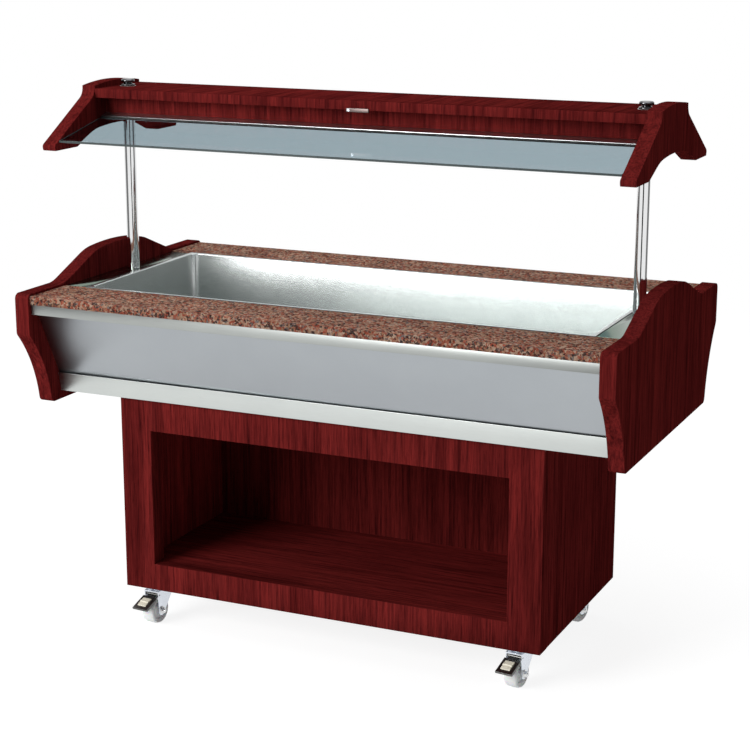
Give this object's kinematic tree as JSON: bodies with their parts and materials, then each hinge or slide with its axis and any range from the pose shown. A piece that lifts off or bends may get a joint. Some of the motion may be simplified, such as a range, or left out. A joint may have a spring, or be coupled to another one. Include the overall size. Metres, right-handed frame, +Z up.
{
  "type": "salad bar",
  "caption": "Mobile buffet: stone-topped chilled well between humped wooden ends, on a pedestal with an open niche and castors, under a glazed canopy that slides on posts.",
  "frame": {"origin": "on the floor, under the middle of the trolley", "axes": "+X along the length to the right-hand end panel, +Y from the front (the side with the open niche) to the rear, +Z up"},
  "size_m": [1.5, 0.832, 1.3355],
  "materials": {
    "mahogany": "satin",
    "dark_board": "satin",
    "granite": "polished",
    "bright_trim": "satin",
    "silver_panel": "satin",
    "stainless": "satin",
    "galvanised": "satin",
    "foam": "matte",
    "chromed": "polished",
    "pane": "polished",
    "channel": "satin",
    "bearing": "satin",
    "valve_brass": "satin",
    "lever_paint": "gloss",
    "zinc": "satin",
    "wheel": "satin",
    "pedal_steel": "satin"
  },
  "bodies": {
    "cabinet": {"end_panel_left": "mahogany", "end_panel_right": "mahogany", "pedestal_front": "mahogany", "pedestal_rear": "mahogany", "pedestal_side_left": "mahogany", "pedestal_side_right": "mahogany", "niche_side_left": "dark_board", "niche_side_right": "dark_board", "niche_back": "dark_board", "niche_ceiling": "dark_board", "pedestal_floor": "dark_board", "pedestal_top": "dark_board", "counter_front": "granite", "counter_rear": "granite", "top_trim_front": "bright_trim", "top_trim_rear": "bright_trim", "lower_trim_front": "bright_trim", "lower_trim_rear": "bright_trim", "fascia_front": "silver_panel", "fascia_rear": "silver_panel", "well_liner": "stainless", "deck_plate_left": "stainless", "deck_plate_right": "stainless", "drain_outlet": "stainless", "underside_tray": "galvanised", "post_sockets": "galvanised", "chassis_rails": "galvanised", "well_insulation": "foam", "post_left": "chromed", "post_right": "chromed", "post_caps": "chromed", "drain_valve": "valve_brass", "castor_plates": "zinc", "castor_screws": "zinc"},
    "canopy": {"canopy_board": "mahogany", "canopy_rail_front": "mahogany", "canopy_rail_rear": "mahogany", "canopy_soffit": "mahogany", "canopy_end_left": "mahogany", "canopy_end_right": "mahogany", "glass_front": "pane", "glass_rear": "pane", "glass_channels": "channel", "post_bushes": "bearing", "pull_plate": "stainless"},
    "drain_lever": {"drain_lever": "lever_paint"},
    "castor_front_left": {"castor_fork_front_left": "zinc", "castor_axle_front_left": "zinc"},
    "wheel_front_left": {"castor_wheel_front_left": "wheel"},
    "pedal_front_left": {"castor_pedal_front_left": "pedal_steel"},
    "castor_front_right": {"castor_fork_front_right": "zinc", "castor_axle_front_right": "zinc"},
    "wheel_front_right": {"castor_wheel_front_right": "wheel"},
    "pedal_front_right": {"castor_pedal_front_right": "pedal_steel"},
    "castor_rear_left": {"castor_fork_rear_left": "zinc", "castor_axle_rear_left": "zinc"},
    "wheel_rear_left": {"castor_wheel_rear_left": "wheel"},
    "castor_rear_right": {"castor_fork_rear_right": "zinc", "castor_axle_rear_right": "zinc"},
    "wheel_rear_right": {"castor_wheel_rear_right": "wheel"}
  },
  "joints": [
    {"name": "canopy_lift", "type": "slide", "parent": "cabinet", "child": "canopy", "axis": [0, 0, 1], "range_m": [-0.3, 0]},
    {"name": "drain_valve_turn", "type": "hinge", "parent": "cabinet", "child": "drain_lever", "pos_m": [0, 0.2435, 0.411], "axis": [0, 1, 0], "range_deg": [0, 90]},
    {"name": "swivel_front_left", "type": "hinge", "parent": "cabinet", "child": "castor_front_left", "pos_m": [-0.485, -0.223, 0.085], "axis": [0, 0, 1], "continuous": true},
    {"name": "roll_front_left", "type": "hinge", "parent": "castor_front_left", "child": "wheel_front_left", "pos_m": [-0.48718, -0.2479, 0.035], "axis": [0.9962, -0.0872, 0], "continuous": true},
    {"name": "brake_front_left", "type": "hinge", "parent": "castor_front_left", "child": "pedal_front_left", "pos_m": [-0.48796, -0.25687, 0.077], "axis": [0.9962, -0.0872, 0], "range_deg": [0, 12]},
    {"name": "swivel_front_right", "type": "hinge", "parent": "cabinet", "child": "castor_front_right", "pos_m": [0.485, -0.223, 0.085], "axis": [0, 0, 1], "continuous": true},
    {"name": "roll_front_right", "type": "hinge", "parent": "castor_front_right", "child": "wheel_front_right", "pos_m": [0.48195, -0.24781, 0.035], "axis": [0.9925, -0.1219, 0], "continuous": true},
    {"name": "brake_front_right", "type": "hinge", "parent": "castor_front_right", "child": "pedal_front_right", "pos_m": [0.48086, -0.25675, 0.077], "axis": [0.9925, -0.1219, 0], "range_deg": [0, 12]},
    {"name": "swivel_rear_left", "type": "hinge", "parent": "cabinet", "child": "castor_rear_left", "pos_m": [-0.485, 0.223, 0.085], "axis": [0, 0, 1], "continuous": true},
    {"name": "roll_rear_left", "type": "hinge", "parent": "castor_rear_left", "child": "wheel_rear_left", "pos_m": [-0.49189, 0.19897, 0.035], "axis": [0.9613, -0.2756, 0], "continuous": true},
    {"name": "swivel_rear_right", "type": "hinge", "parent": "cabinet", "child": "castor_rear_right", "pos_m": [0.485, 0.223, 0.085], "axis": [0, 0, 1], "continuous": true},
    {"name": "roll_rear_right", "type": "hinge", "parent": "castor_rear_right", "child": "wheel_rear_right", "pos_m": [0.47811, 0.19897, 0.035], "axis": [0.9613, -0.2756, 0], "continuous": true}
  ]
}
